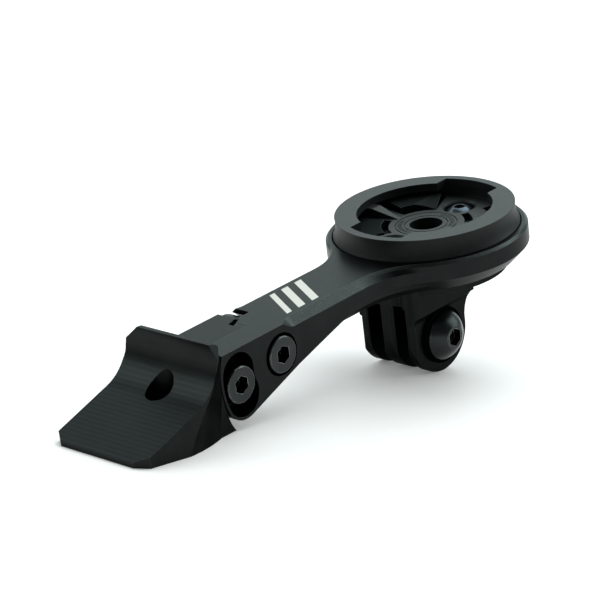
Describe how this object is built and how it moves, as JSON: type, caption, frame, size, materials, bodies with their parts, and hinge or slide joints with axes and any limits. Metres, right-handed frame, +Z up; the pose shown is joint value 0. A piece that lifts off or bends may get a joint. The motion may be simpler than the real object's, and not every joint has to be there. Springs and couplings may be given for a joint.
{
  "type": "out-front bicycle computer mount",
  "caption": "Machined out-front handlebar mount with a tilting arm, a quarter-turn insert in a ring head and a pronged action-camera adapter below.",
  "frame": {"origin": "on the ground plane under the centre of the object's box, resting on the bracket's flat underside and the camera prongs", "axes": "+Z up, +Y from the handlebar bracket towards the ring head, +X to the side that carries the screw heads"},
  "size_m": [0.0386, 0.1056, 0.0338],
  "materials": {
    "anodised_black": "satin black anodised, machined",
    "screw_black": "black oxide steel with worn bright edges",
    "moulded_black": "matte moulded nylon",
    "detent_grey": "smooth moulded acetal",
    "washer_black": "dull black"
  },
  "bodies": {
    "bracket": {"bar_bracket": "anodised_black", "pivot_screw": "screw_black", "lock_screw": "screw_black"},
    "arm": {"arm": "anodised_black", "quarter_turn_insert": "moulded_black", "insert_screws": "screw_black", "camera_adapter": "anodised_black", "camera_bolt": "screw_black", "camera_washer": "washer_black", "camera_nut": "screw_black"},
    "detent_far": {"detent_tab_far": "detent_grey"},
    "detent_near": {"detent_tab_near": "detent_grey"}
  },
  "joints": [
    {"name": "arm_tilt", "type": "hinge", "parent": "bracket", "child": "arm", "pos_m": [0, -0.01443, 0.01203], "axis": [1, 0, 0], "range_deg": [-14, 12]},
    {"name": "detent_far_press", "type": "slide", "parent": "arm", "child": "detent_far", "axis": [0.766, -0.6312, -0.1215], "range_m": [0, 0.0006], "stiffness_N_per_m": 1500},
    {"name": "detent_near_press", "type": "slide", "parent": "arm", "child": "detent_near", "axis": [0.766, 0.6312, 0.1215], "range_m": [0, 0.0006], "stiffness_N_per_m": 1500}
  ]
}
